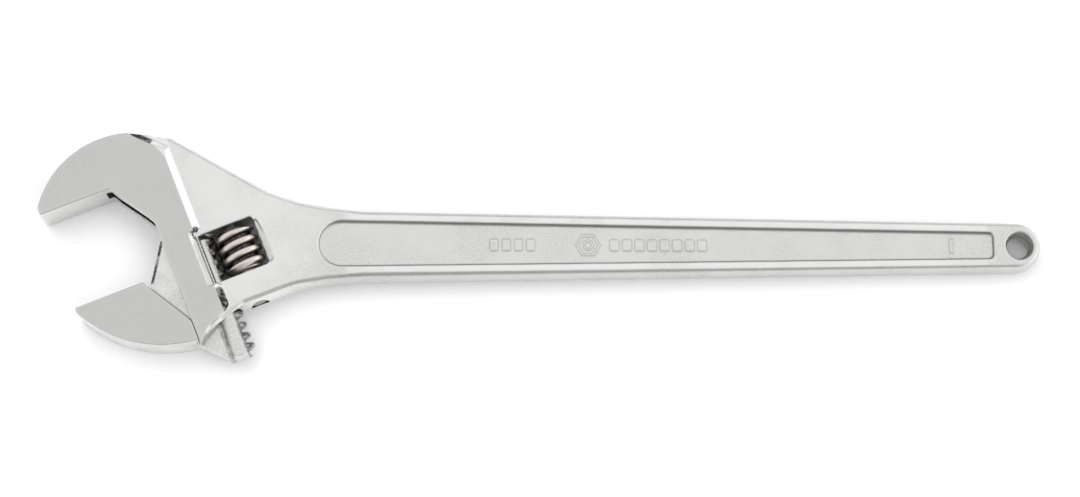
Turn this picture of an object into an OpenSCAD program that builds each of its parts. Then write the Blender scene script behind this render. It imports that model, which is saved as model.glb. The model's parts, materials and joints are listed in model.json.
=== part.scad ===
// Large adjustable wrench lying flat, jaws fully open.
// The origin is the centre of the hang hole, halfway through the handle. +X runs out of the handle's
// end, +Y is the fixed jaw's side and +Z is up. The head is modelled in its own jaw frame: its origin
// is the middle of the knurl, its x axis points across the rail towards the handle, and its y axis is
// the way the movable jaw travels as it closes.

/* [Layout] */
// Distance along the handle from the hang hole to the middle of the knurl
knurl_reach = 473.5; // [380:0.5:600]
// How far the middle of the knurl lies below the handle's centre line
knurl_drop = 3.1; // [0:0.1:6]
// Angle between the jaws' faces and the handle, in degrees
jaw_angle = 22; // [15:0.5:24]

/* [Handle] */
// Thickness of the handle
handle_t = 18.6; // [15:0.1:24]
// Half width of the handle's flat face at the hang hole
grip_half_w = 12; // [11:0.1:15]
// Half width of the handle's flat face where the neck starts
neck_half_w = 17.9; // [15:0.1:21]
// How far the sides bulge past the flat face at the hang hole
end_bulge = 2.9; // [2:0.1:5]
// How far the sides bulge past the flat face at the neck and on the head
neck_bulge = 3.8; // [3:0.1:5]
// How far the neck's parting line leans to the side away from the fixed jaw
parting_lean = 0.6; // [0:0.1:1]
// Distance from the centre of the rounded end to the hang hole
hang_offset = 1.4; // [0:0.1:3]
// Diameter of the hang hole
hang_hole_d = 13.2; // [9:0.1:16]
// Width of the chamfer round the hang hole
hang_chamfer = 0.6; // [0.3:0.1:1]
// Diameter of the recess round the hang hole, on each face
hang_recess_d = 16.6; // [15:0.1:18]
// Thickness of the ledge left round the hang hole
hang_ledge_t = 5.2; // [3:0.1:8]
// Land between the recessed panel and the edge of the flat face
panel_land = 4.2; // [3:0.1:6]
// Depth of the recessed panel
panel_depth = 2.7; // [1:0.1:4]
// Corner radius at the panel's square end
panel_corner_r = 2.5; // [1:0.1:4]

/* [Head] */
// Thickness across the ground faces of the head and the jaws
face_t = 28.5; // [26:0.1:36]
// Metal left above and below the rail bore in the thinner body
bore_cover = 1.7; // [1:0.1:2.5]
// Height of the fixed jaw's gripping face above the middle of the knurl
fixed_face_y = 61.9; // [60:0.1:76]
// Reach of both jaws in front of the guide face
jaw_reach = 62.3; // [52:0.1:75]
// Radius of the crown over the fixed jaw
crown_r = 58.1; // [56:0.1:70]
// Length of the knurl window along the knurl's axis
window_l = 31.3; // [30:0.1:38]
// Gap between the knurl's crest and the side of the window
window_gap = 0.85; // [0.5:0.05:2]
// Width of the bevel between the ground face and the thinner body
bevel_w = 4.9; // [3:0.1:6]
// Width of the same bevel beside the window
notch_bevel_w = 3.4; // [2:0.1:4]

/* [Movable jaw] */
// Widest gap between the jaws
jaw_opening = 61.5; // [50:0.1:74]
// Diameter of the rail
rail_d = 17; // [15:0.1:22]
// Distance from the jaw's face up to the top of the rail
rail_above = 16.1; // [12:0.1:18]
// Distance from the jaw's face down to the lower end of the rail
rail_below = 62.4; // [60:0.1:75]
// Thickness of the web between the jaw and the rail
web_t = 12; // [9:0.1:14]
// Depth of the web between the guide face and the rail
web_depth = 12.5; // [9:0.1:15]
// Radial clearance of the rail in its bore
rail_clearance = 0.2; // [0.1:0.05:0.5]
// Clearance of the web in its slot, on each side
web_clearance = 0.25; // [0.1:0.05:0.5]
// Clearance between the jaw and the guide face
guide_clearance = 0.4; // [0.2:0.05:0.8]
// Depth of the rack's teeth
rack_depth = 4.6; // [3.5:0.1:5.5]

/* [Knurl] */
// Diameter over the crests of the thread
knurl_d = 26.4; // [22:0.1:32]
// Depth of the thread
thread_depth = 3.25; // [2.5:0.05:3.6]
// Distance between neighbouring crests
crest_pitch = 6.85; // [6:0.05:8]
// Number of starts of the thread
starts = 1; // [1:1:2]
// How far the thread reaches into the rack
mesh_depth = 1.3; // [1:0.05:2.2]
// Gap between the thread's flank and the rack's tooth
mesh_gap = 0.25; // [0.15:0.05:0.4]
// Length of the threaded part
knurl_l = 27.4; // [24:0.1:29]
// Diameter of the plain hub at the lower end
hub_d = 11; // [10:0.1:14]
// Clearance between the knurl's ends and the window
knurl_end_gap = 0.2; // [0.1:0.05:0.5]

/* [Pin and spring] */
// Diameter of the knurl's pin
pin_d = 7; // [5:0.1:8]
// Radial clearance of the knurl on its pin
pin_clearance = 0.08; // [0.02:0.01:0.1]
// Diameter of the pin's head
pin_head_d = 10; // [9:0.1:12]
// Height of the pin's head
pin_head_h = 3; // [2:0.1:5]
// How far the pin is screwed into the head above the window
pin_engagement = 12; // [6:0.5:16]
// Diameter of the spring's wire
wire_d = 0.9; // [0.6:0.1:1.1]
// Radial clearance of the spring round the pin
spring_clearance = 0.25; // [0.15:0.05:0.4]
// Number of turns of the spring
spring_turns = 4; // [3:1:6]

/* [Hidden] */
$fn = 96;
eps = 0.01;

knurl_r = knurl_d / 2;
root_r = knurl_r - thread_depth;
rail_r = rail_d / 2;
bore_r = rail_r + rail_clearance;
face_h = face_t / 2;
body_h = bore_r + bore_cover;
handle_h = handle_t / 2;

// Places in the jaw frame
rail_x = -(knurl_r + rail_r - mesh_depth);
guide_x = rail_x - rail_r - web_depth;
jaw_y = fixed_face_y - jaw_opening;
rail_top_y = jaw_y + rail_above;
rail_end_y = jaw_y - rail_below;
rack_floor_x = rail_x + rail_r - rack_depth;
window_y = window_l / 2;
bevel_x = rail_x + 3.5;
notch_x = rail_x - 1.5;
body_low_y = -window_y - 15.4;
body_corner = [bevel_x + 0.9, fixed_face_y + 16.4];
crown_corner = [bevel_x - 9.6, fixed_face_y + 24.5];
crown_bevel = [23.4, 9.3, bevel_x - 5.6, fixed_face_y + 7.6];
crown_relief = [43.5, 4, bevel_x - 9.5, fixed_face_y + 16.6];
lead = crest_pitch * starts;
crest_y = 1.2;
knurl_low_y = -window_y + knurl_end_gap;
thread_low_y = -window_y + 1.6;
thread_top_y = thread_low_y + knurl_l;
spring_r = pin_d / 2 + spring_clearance + wire_d / 2;
spring_pocket_r = spring_r + wire_d / 2 + spring_clearance;
spring_pocket_l = 7;
pin_low_y = body_low_y - neck_bulge + 0.6;

// Where the neck's sections lie, measured from the knurl along the handle
neck_start = 73.5;
neck_mid = 36.4;
neck_end = 12.6;
neck_root = 2;

function mix(a, b, t) = a + (b - a) * t;
function arc(centre, r, from, to, steps = 24) =
    [for (i = [0:steps]) centre + r * [cos(mix(from, to, i / steps)), sin(mix(from, to, i / steps))]];
function mirror_xs(points) = [for (i = [len(points) - 1:-1:0]) [-points[i][0], points[i][1]]];

module in_jaw_frame() {
    translate([-knurl_reach, -knurl_drop, 0]) rotate([0, 0, jaw_angle]) children();
}

// Turns a shape made along +Z so that it runs along the jaw frame's +Y, from y on.
module along_y(x, y) {
    translate([x, y, 0]) rotate([-90, 0, 0]) children();
}

// ---- Frame ----

// Half section of a forged bar: flat on top, bulging to its parting line.
function bulged_side(half_w, h, bulge) = [
    [half_w, h],
    [half_w + 0.5 * bulge, 0.88 * h],
    [half_w + 0.85 * bulge, 0.6 * h],
    [half_w + bulge, 0.2 * h],
    [half_w + bulge, -0.2 * h],
    [half_w + 0.85 * bulge, -0.6 * h],
    [half_w + 0.5 * bulge, -0.88 * h],
    [half_w, -h],
];

// One section of the bar: [x, side y low and high of its flat face, half thickness, bulge, lean].
function bar_section(spec) = let (
    middle = (spec[1] + spec[2]) / 2,
    half_w = (spec[2] - spec[1]) / 2,
    high_side = bulged_side(half_w, spec[3], spec[4] - spec[5]),
    low_side = mirror_xs(bulged_side(half_w, spec[3], spec[4] + spec[5]))
) [for (p = concat(high_side, low_side)) [spec[0], middle + p[0], p[1]]];

// Closed solid through rings of points that all have the same count.
module loft(rings) {
    count = len(rings[0]);
    last = len(rings) - 1;
    sides = [for (i = [0:last - 1], j = [0:count - 1])
        let (k = (j + 1) % count)
        [i * count + j, i * count + k, (i + 1) * count + k, (i + 1) * count + j]
    ];
    first_cap = [for (j = [count - 1:-1:0]) j];
    last_cap = [for (j = [0:count - 1]) last * count + j];
    polyhedron([for (ring = rings, p = ring) p], concat([first_cap], sides, [last_cap]), convexity = 10);
}

// Convex plate with drafted sides, drawn at the size of its flat face.
module drafted_plate(points, h, bulge) {
    hull() {
        linear_extrude(2 * h, center = true) polygon(points);
        translate([0, -0.5 * parting_lean, 0])
            linear_extrude(1.7 * h, center = true) offset(delta = 0.55 * bulge) polygon(points);
        translate([0, -parting_lean, 0])
            linear_extrude(0.5 * h, center = true) offset(delta = bulge) polygon(points);
    }
}

// Handle and neck in one tapering bar, from the head to the hang hole.
module bar() {
    w = neck_half_w;
    loft([for (spec = [
        [-neck_root, -w - 16, w + 19, body_h, neck_bulge],
        [neck_end, -w - 11.4, w + 13.5, body_h, neck_bulge],
        [neck_mid - 11, -w - 8.6, w + 8.5, body_h, neck_bulge],
        [neck_mid, -w - 5, w + 5, body_h, neck_bulge],
        [neck_start - 18, -w - 1.7, w + 1.8, mix(body_h, handle_h, 0.6), neck_bulge],
        [neck_start, -w, w, handle_h, neck_bulge],
        [knurl_reach - hang_offset, -grip_half_w, grip_half_w, handle_h, end_bulge],
    ]) bar_section([
        spec[0] - knurl_reach,
        spec[1],
        spec[2],
        spec[3],
        spec[4],
        parting_lean * (spec[4] - end_bulge) / (neck_bulge - end_bulge + eps),
    ])]);
}

module handle_end() {
    side = bulged_side(grip_half_w, handle_h, end_bulge);
    outline = concat([[0, handle_h]], side, [[0, -handle_h]]);
    translate([-hang_offset, 0, 0]) rotate_extrude() polygon(outline);
}

// Thinner satin body of the head, round the window.
module head_body() {
    drafted_plate([
        [rail_x - 14, body_low_y + 8],
        [bevel_x, body_low_y],
        [26, body_low_y - 0.4],
        [24.6, 27.3],
        body_corner,
        [crown_corner[0] - 1, crown_corner[1] - 2],
    ], body_h, neck_bulge);
}

// Outline of the thick part of the head, with the fixed jaw.
function head_outline() = let (
    crown = [guide_x - 13.2, fixed_face_y - 26.4],
    nose_x = guide_x - jaw_reach,
    nose_angle = 180 - acos((crown[0] - nose_x) / crown_r)
) concat(
    [[nose_x, fixed_face_y], [guide_x - 18.6, fixed_face_y], [guide_x - 17.6, fixed_face_y - 0.6]],
    [[guide_x - 14.7, fixed_face_y - 5.9], [guide_x - 2.4, fixed_face_y - 24.1]],
    arc([guide_x - 8, fixed_face_y - 30.5], 8, 41, 0, 5),
    [[guide_x, body_low_y - 17], [guide_x + 4, body_low_y - 12.4], [guide_x + 6.9, body_low_y - 9]],
    [[guide_x + 15, body_low_y - 5.4], [bevel_x - 3, body_low_y - 2], [bevel_x, body_low_y + 1]],
    [[bevel_x, -window_y - 3], [notch_x, -window_y + 1], [notch_x, window_y], [bevel_x, window_y + 5.4]],
    [[bevel_x, body_corner[1] - 3], body_corner, crown_corner],
    arc(crown, crown_r, 73, nose_angle, 36)
);

// Wedge that bevels the ground face between y = low and y = high, for the upper and the lower face.
module bevel_cut(x, run, low, high, beyond = 2) {
    for (side = [1, -1]) {
        translate([x, high, 0]) rotate([90, 0, 0]) linear_extrude(high - low)
            polygon([
                [-run, side * face_h],
                [0, side * body_h],
                [beyond, side * body_h],
                [beyond, side * (face_h + 1)],
                [-run, side * (face_h + 1)],
            ]);
    }
}

// Bevel across the crown: the turn and width of the cut, and a point on its upper edge.
module crown_cut(cut) {
    across = 15;
    along = 40;
    translate([cut[2], cut[3], 0]) rotate([0, 0, cut[0]]) bevel_cut(cut[1], cut[1], -along, along, across);
}

module thick_head() {
    difference() {
        linear_extrude(face_t, center = true) polygon(head_outline());
        bevel_cut(bevel_x, bevel_w, window_y + 2, fixed_face_y + 40);
        crown_cut(crown_bevel);
        crown_cut(crown_relief);
        bevel_cut(notch_x, notch_bevel_w, -window_y - 1, window_y + 3);
        bevel_cut(bevel_x, bevel_w, body_low_y - 4, -window_y - 1.6);
    }
}

// Sloping lower lip of the head, round the rail and the web.
module rail_lip() {
    lip_h = bore_r + 0.5;
    hull() {
        linear_extrude(2 * (face_h - 1), center = true) polygon([
            [guide_x + 1.5, body_low_y - 14.6],
            [bevel_x - 15.6, body_low_y - 8],
            [bevel_x - 10.6, body_low_y - 4.8],
            [bevel_x - 8, body_low_y - 1.5],
            [guide_x + 3, body_low_y + 3],
        ]);
        linear_extrude(2 * lip_h, center = true) polygon([
            [guide_x + 1.2, body_low_y - 15.6],
            [guide_x + 4.4, body_low_y - 13.2],
            [bevel_x - 9, body_low_y - 7.6],
            [bevel_x - 7, body_low_y - 3],
        ]);
    }
    hull() {
        linear_extrude(2 * body_h, center = true) polygon([
            [bevel_x - 10, body_low_y - 3.5],
            [bevel_x, body_low_y],
            [bevel_x + 8, body_low_y],
            [bevel_x, body_low_y + 5],
            [bevel_x - 10, body_low_y + 3],
        ]);
        linear_extrude(2 * lip_h, center = true) polygon([
            [bevel_x - 9, body_low_y - 7.6],
            [bevel_x + 8, body_low_y - 2],
            [bevel_x, body_low_y],
            [bevel_x - 9, body_low_y - 2],
        ]);
    }
}

module rail_bore() {
    travel_end = rail_top_y + jaw_opening + 0.8;
    point_l = 4;
    along_y(rail_x, rail_end_y - 5) cylinder(r = bore_r, h = travel_end - point_l - rail_end_y + 5);
    along_y(rail_x, travel_end - point_l - eps) cylinder(r1 = bore_r, r2 = bore_r - point_l, h = point_l);
}

// The web's outline at rest, grown by a clearance, in the jaw frame.
function web_front(grow) = [
    [guide_x - 17.6, jaw_y - 2.2],
    [guide_x - 15.6, jaw_y - 1.1],
    [guide_x - 0.95 - 1.2 * grow, jaw_y + 21.9 + 2 * grow],
    [guide_x + 4 + grow, jaw_y + 21.9 + grow],
    [rail_x - rail_r + 2, jaw_y + 15.5 + grow],
    [rail_x, jaw_y + 15.5 + grow],
];

module web_slot() {
    left = guide_x - 21;
    low_y = rail_end_y - 5;
    notch_y = fixed_face_y + 1.6;
    front = web_front(0.5);
    linear_extrude(web_t + 2 * web_clearance, center = true) polygon(concat(
        [[rail_x, low_y], [left, low_y], [left, notch_y], [left + 4, notch_y]],
        [for (i = [2:len(front) - 1]) front[i] + [0, jaw_opening]]
    ));
}

module knurl_window() {
    right = knurl_r + window_gap;
    left = rail_x + 0.6;
    corner = 2;
    for (y = [-window_y, window_y - 2 * corner]) {
        translate([left, y, -face_t]) cube([right - left - corner, 2 * corner, 2 * face_t]);
    }
    translate([left, -window_y + corner, -face_t]) cube([right - left, window_l - 2 * corner, 2 * face_t]);
    for (y = [-window_y + corner, window_y - corner]) {
        translate([right - corner, y, -face_t]) cylinder(r = corner, h = 2 * face_t);
    }
}

// Finger relief along the window's far side.
module window_scoop() {
    right = knurl_r + window_gap;
    run = 4.2;
    depth = 2.8;
    end_r = 3.4;
    low_y = -window_y + 0.8;
    high_y = window_y - 3;
    intersection() {
        for (side = [1, -1]) {
            translate([right, high_y, 0]) rotate([90, 0, 0]) linear_extrude(high_y - low_y)
                polygon([
                    [-1, side * (body_h - depth * (run + 1) / run)],
                    [run, side * body_h],
                    [run, side * (body_h + 5)],
                    [-1, side * (body_h + 5)],
                ]);
        }
        linear_extrude(4 * body_h, center = true) polygon(concat(
            [[right - 2, low_y], [right + run - end_r, low_y]],
            arc([right + run - end_r, low_y + end_r], end_r, -90, 0, 8),
            [[right + run, 0], [right + 2, high_y], [right - 2, high_y]]
        ));
    }
}

module pin_hole() {
    seat_y = pin_low_y + pin_head_h + 0.4;
    along_y(0, pin_low_y - 20) cylinder(r = pin_head_d / 2 + 0.3, h = seat_y - pin_low_y + 20);
    along_y(0, seat_y - eps) cylinder(r = pin_d / 2 + 0.1, h = -window_y - seat_y + 1);
    along_y(0, window_y - 1) cylinder(r = pin_d / 2, h = pin_engagement + 2);
}

module hang_hole() {
    recess_r = hang_recess_d / 2;
    draft = 0.7;
    cylinder(d = hang_hole_d, h = 2 * handle_t, center = true);
    for (side = [0, 180]) {
        rotate([side, 0, 0]) {
            translate([0, 0, hang_ledge_t / 2])
                cylinder(r1 = recess_r - draft, r2 = recess_r, h = handle_h - hang_ledge_t / 2);
            translate([0, 0, handle_h - hang_chamfer])
                cylinder(r1 = recess_r, r2 = recess_r + 2 * hang_chamfer, h = 2 * hang_chamfer);
        }
    }
}

// Recessed panel in each face of the handle: round at the neck, square with soft corners at the end.
module panels() {
    taper = (neck_half_w - grip_half_w) / (knurl_reach - neck_start - hang_offset);
    end_x = -hang_hole_d / 2 - 9.4;
    end_half_w = grip_half_w + taper * (-end_x - hang_offset) - panel_land;
    round_x = neck_start - knurl_reach - 11.5;
    round_r = neck_half_w + taper * 11.5 - panel_land;
    c = panel_corner_r;
    floor_h = handle_h - panel_depth;
    outline = concat(
        arc([end_x - c, -end_half_w + c], c, -90, 0, 6),
        arc([end_x - c, end_half_w - c], c, 0, 90, 6),
        arc([round_x, 0], round_r, 90, 270, 36)
    );
    for (side = [0, 180]) {
        rotate([side, 0, 0]) translate([0, 0, floor_h]) linear_extrude(face_t) polygon(outline);
    }
}

module frame() {
    color([0.8, 0.8, 0.79]) difference() {
        union() {
            bar();
            handle_end();
            in_jaw_frame() {
                head_body();
                thick_head();
                rail_lip();
            }
        }
        in_jaw_frame() {
            rail_bore();
            web_slot();
            knurl_window();
            window_scoop();
            pin_hole();
        }
        hang_hole();
        panels();
    }
}

// ---- Movable jaw ----

module jaw_plate() {
    heel_x = guide_x - guide_clearance;
    nose_x = guide_x - jaw_reach;
    belly = [guide_x + 6.1, jaw_y + 30.8];
    belly_r = jaw_reach + 14;
    heel_angle = -90 - asin((belly[0] - heel_x) / belly_r);
    nose_angle = -90 - asin((belly[0] - nose_x - 0.3) / belly_r);
    linear_extrude(face_t, center = true) polygon(concat(
        [[nose_x, jaw_y - 1], [nose_x + 0.5, jaw_y], [guide_x - 20.2, jaw_y], [guide_x - 18.4, jaw_y - 1]],
        [[guide_x - 17.8, jaw_y - 2.9], [guide_x - 1.9, jaw_y - 29.9], [heel_x, jaw_y - 33.4]],
        arc(belly, belly_r, heel_angle, nose_angle, 36)
    ));
}

module web() {
    linear_extrude(web_t, center = true) polygon(concat(
        web_front(0),
        [[rail_x, rail_end_y], [rail_x - rail_r + 0.8, rail_end_y], [guide_x + 0.4, jaw_y - 48.6]],
        [[guide_x - 6, jaw_y - 43], [guide_x - 18, jaw_y - 10]]
    ));
}

// Gaps between the rack's teeth, leaning with the thread that runs in them.
module rack_gaps() {
    lean = atan(lead / (2 * PI * (knurl_r - mesh_depth / 2)));
    tip_half_w = 0.297 * crest_pitch + mesh_gap;
    floor_half_w = tip_half_w - 0.8;
    first = floor((rail_end_y - crest_y) / crest_pitch) + 1;
    last = floor((rail_top_y - 4 - crest_y) / crest_pitch);
    for (i = [first:last]) {
        translate([0, crest_y + i * crest_pitch, 0]) rotate([lean, 0, 0])
            linear_extrude(4 * rail_d, center = true)
            polygon([
                [rack_floor_x, -floor_half_w],
                [rail_x + rail_r, -tip_half_w],
                [rail_x + rail_r + 1, -tip_half_w - 0.2],
                [rail_x + rail_r + 1, tip_half_w + 0.2],
                [rail_x + rail_r, tip_half_w],
                [rack_floor_x, floor_half_w],
            ]);
    }
}

module rail() {
    tip_l = 3.6;
    difference() {
        union() {
            along_y(rail_x, rail_end_y) cylinder(r = rail_r, h = rail_top_y - tip_l - rail_end_y);
            along_y(rail_x, rail_top_y - tip_l - eps) cylinder(r1 = rail_r, r2 = rail_r - tip_l, h = tip_l);
        }
        rack_gaps();
    }
}

module movable_jaw() {
    color([0.72, 0.72, 0.71]) in_jaw_frame() {
        jaw_plate();
        web();
        rail();
    }
}

// ---- Knurl ----

// Section of one crest: distance along the axis from its middle, and radius.
function crest_section() = [
    [-0.4 * crest_pitch, root_r - 0.6],
    [-0.336 * crest_pitch, root_r + 0.4],
    [-0.255 * crest_pitch, knurl_r - 0.85],
    [-0.16 * crest_pitch, knurl_r - 0.15],
    [0, knurl_r],
    [0.16 * crest_pitch, knurl_r - 0.15],
    [0.255 * crest_pitch, knurl_r - 0.85],
    [0.336 * crest_pitch, root_r + 0.4],
    [0.4 * crest_pitch, root_r - 0.6],
];

// The thread is turned down to a cone at both ends of the knurl.
function end_cone(y) =
    root_r - 0.6 + max(0, 1.3 * min(y - thread_low_y, thread_top_y - y));

// One start of the thread, as a closed sweep along its helix.
module thread_start(turn_offset) {
    section = crest_section();
    end_inset = 0.3;
    step = 10;
    first_turn = (thread_low_y - crest_pitch / 2 - crest_y) / lead + turn_offset;
    last_turn = (thread_top_y + crest_pitch / 2 - crest_y) / lead + turn_offset;
    rings = ceil((last_turn - first_turn) * 360 / step);
    loft([for (i = [0:rings]) let (turn = mix(first_turn, last_turn, i / rings), angle = 360 * turn - 90)
        [for (p = section)
            let (
                free_y = crest_y + lead * (turn - turn_offset) + p[0],
                y = min(thread_top_y - end_inset, max(thread_low_y + end_inset, free_y)) + 0.02 * p[0],
                r = min(p[1], end_cone(y) + 0.05 * (p[1] - root_r))
            ) [r * sin(angle), y, r * cos(angle)]
        ]
    ]);
}

module knurl() {
    color([0.52, 0.5, 0.46]) in_jaw_frame() difference() {
        union() {
            along_y(0, thread_low_y) cylinder(r = root_r, h = knurl_l);
            along_y(0, knurl_low_y) cylinder(d = hub_d, h = knurl_l);
            for (i = [0:starts - 1]) thread_start(i / starts);
        }
        along_y(0, knurl_low_y - 1) cylinder(r = pin_d / 2 + pin_clearance, h = window_l + 2);
        along_y(0, thread_top_y - spring_pocket_l) cylinder(r = spring_pocket_r, h = spring_pocket_l + 1);
    }
}

// ---- Pin and spring ----

module knurl_pin() {
    slot_w = 1.4;
    slot_depth = 1.3;
    color([0.4, 0.4, 0.4]) in_jaw_frame() difference() {
        union() {
            along_y(0, pin_low_y) cylinder(d = pin_head_d, h = pin_head_h);
            along_y(0, pin_low_y) cylinder(d = pin_d, h = window_y + pin_engagement - pin_low_y);
        }
        translate([-pin_head_d, pin_low_y - 1, -slot_w / 2]) cube([2 * pin_head_d, slot_depth + 1, slot_w]);
    }
}

module knurl_spring() {
    low = thread_top_y - spring_pocket_l + wire_d / 2 + 0.1;
    high = window_y - wire_d / 2 - 0.1;
    ring_points = 8;
    step = 15;
    rings = 360 / step * spring_turns;
    color([0.3, 0.3, 0.32]) in_jaw_frame() loft([for (i = [0:rings]) let (angle = i * step)
        [for (j = [0:ring_points - 1])
            let (
                around = 360 * j / ring_points,
                r = spring_r + wire_d / 2 * cos(around),
                y = mix(low, high, i / rings) + wire_d / 2 * sin(around)
            ) [r * sin(angle), y, r * cos(angle)]
        ]
    ]);
}

frame();
movable_jaw();
knurl();
knurl_pin();
knurl_spring();
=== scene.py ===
"""Large adjustable wrench: forged frame, sliding jaw, screw adjuster, pin and spring."""

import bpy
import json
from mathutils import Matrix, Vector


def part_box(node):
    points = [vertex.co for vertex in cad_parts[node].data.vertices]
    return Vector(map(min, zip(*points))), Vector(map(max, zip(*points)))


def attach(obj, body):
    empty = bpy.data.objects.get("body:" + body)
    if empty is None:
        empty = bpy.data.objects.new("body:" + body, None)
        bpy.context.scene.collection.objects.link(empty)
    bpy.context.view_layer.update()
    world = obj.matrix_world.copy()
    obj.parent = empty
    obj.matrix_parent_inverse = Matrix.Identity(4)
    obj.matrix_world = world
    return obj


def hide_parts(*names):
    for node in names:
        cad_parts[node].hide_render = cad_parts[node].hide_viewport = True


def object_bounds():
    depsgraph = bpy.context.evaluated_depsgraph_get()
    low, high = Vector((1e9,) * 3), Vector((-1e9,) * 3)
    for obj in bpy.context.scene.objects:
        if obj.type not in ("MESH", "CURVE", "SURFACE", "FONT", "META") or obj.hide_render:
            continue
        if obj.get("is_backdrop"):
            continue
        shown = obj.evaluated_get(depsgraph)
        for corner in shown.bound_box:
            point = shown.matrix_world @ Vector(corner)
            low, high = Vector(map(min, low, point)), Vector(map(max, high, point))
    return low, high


bl_info = {
    "name": "Adjustable Wrench",
    "version": (1, 0, 0),
    "blender": (4, 5, 0),
    "location": "3D View > Sidebar > Wrench",
    "description": "Builds the visual pieces of a large adjustable wrench round its packed frame",
    "category": "Object",
}

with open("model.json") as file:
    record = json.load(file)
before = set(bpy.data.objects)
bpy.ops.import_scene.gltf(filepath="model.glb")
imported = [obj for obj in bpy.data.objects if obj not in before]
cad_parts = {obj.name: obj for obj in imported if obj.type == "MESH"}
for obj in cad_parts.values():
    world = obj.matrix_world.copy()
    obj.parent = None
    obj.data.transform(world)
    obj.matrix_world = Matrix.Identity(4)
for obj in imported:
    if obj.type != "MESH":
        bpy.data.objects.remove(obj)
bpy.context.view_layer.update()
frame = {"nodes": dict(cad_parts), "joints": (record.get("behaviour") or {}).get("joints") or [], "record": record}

import json
import math

import bpy
import numpy as np
import openvdb
from mathutils import Matrix, Vector

MM = 0.001
JOINTS = {joint["name"]: joint for joint in frame["joints"]}
COUPLING = frame["record"]["behaviour"]["couplings"][0]
SCREW_AXIS = Vector(JOINTS["jaw_slide"]["axis"]).normalized()
SCREW_CENTRE = Vector(JOINTS["knurl_spin"]["pos_m"])
SCREW_LEAD = 2 * math.pi / abs(COUPLING["ratio"])
JAW_TURN = math.atan2(-SCREW_AXIS.x, SCREW_AXIS.y)
FACE_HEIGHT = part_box("frame")[1].z

# Heights above the wrench's middle plane, in millimetres
PANEL_FLOOR = 6.3
WEB_TOP_FACE = 6.3
SLOT_TOP = 6.6
HANDLE_TOP = 9.3
BODY_TOP = 10.4
FACE_TOP = FACE_HEIGHT / MM

# Ends of the handle's panel along X and its half width, in millimetres
PANEL_START = -435.0
PANEL_END = -14.0
PANEL_HALF_WIDTH = 14.5

# Places across the screw's axis, in millimetres
GUIDE = -41.4  # the head's straight side, where the sliding jaw runs
BEVEL_EDGE = -16.9  # where the head's bevel meets its body
WINDOW_LEFT = -20.5
WINDOW_RIGHT = 13.3
SLOT_LEFT = -62.6
SLOT_RIGHT = -22.0
HANDLE_SIDES = (5.0, 50.0)  # where the shade on the handle's sides begins and is full

# Places along the screw's axis, in millimetres
WINDOW_HALF = 15.65
ADJUSTER_LOW = -15.45
THREAD_LOW = -14.05
THREAD_TOP = 13.35
CREST_PLACE = 1.2
POCKET_DEPTH = 7.0
SLOT_LOW = -52.0
SLOT_HIGH = 64.5
PIN_HOLE_TOP = -16.0

# The adjuster's radii, in millimetres
HUB_RADIUS = 5.5
BORE_RADIUS = 3.58
POCKET_RADIUS = 4.9

# The spring in the adjuster's pocket, in millimetres
SPRING_TURNS = 4
SPRING_RADIUS = 4.2
WIRE_RADIUS = 0.44
SPRING_GAP = 0.12

# Ends of the web's front edge, across the screw's axis and along it, in millimetres
WEB_TIP = (-57.0, -0.7)
WEB_TOP = (-42.35, 22.3)

# Middle and half size of each patch of the head's run-outs that is painted dark as a reflection, across the
# screw's axis and along it
DARK_REFLECTION_PATCHES = (
    ((-30.5, 86.0), (6.6, 7.5)),
    ((-20.0, 16.6), (3.4, 4.6)),
    ((-19.6, -27.0), (4.2, 8.6)),
)

# The camera's lens, in millimetres, its place and two of its axes
CAMERA_LENS = 81.133333
CAMERA_PLACE = (-0.324384, -0.333714, 1.443161)
CAMERA_RIGHT = (0.999748, -0.001589, 0.022413)
CAMERA_UP = (-0.003490, 0.974415, 0.224730)

# Each light's name, place, width, height and power, and the point that they all face
LIGHTS = (
    ("key", (-0.9, 0.7, 1.9), 1.8, 1.8, 18.0),
    ("fill", (0.6, -0.9, 1.6), 1.8, 1.6, 12.0),
)
LIGHTS_AIM = (-0.32, 0.0, 0.0)

# Brightness of the surroundings overhead, at the near, far and handle's sides, and in a dark spot
SKY_TOP = (0.92, 0.92, 0.92, 1.0)
SKY_NEAR = (1.0, 1.0, 1.0, 1.0)
SKY_FAR = (0.34, 0.34, 0.35, 1.0)
SKY_HANDLE_SIDE = (1.5, 1.5, 1.5, 1.0)
SKY_DARK_SPOT = (0.3, 0.3, 0.3, 1.0)
DARK_SPOT_DIRECTION = (0.0, -0.76, 0.65)

# The floor's half width in metres, and how far from the jaws the handle comes down to it
FLOOR_SPAN = 3.0
HANDLE_REST = 0.5


# ---- Sizes and colours that a user would change ----

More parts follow.
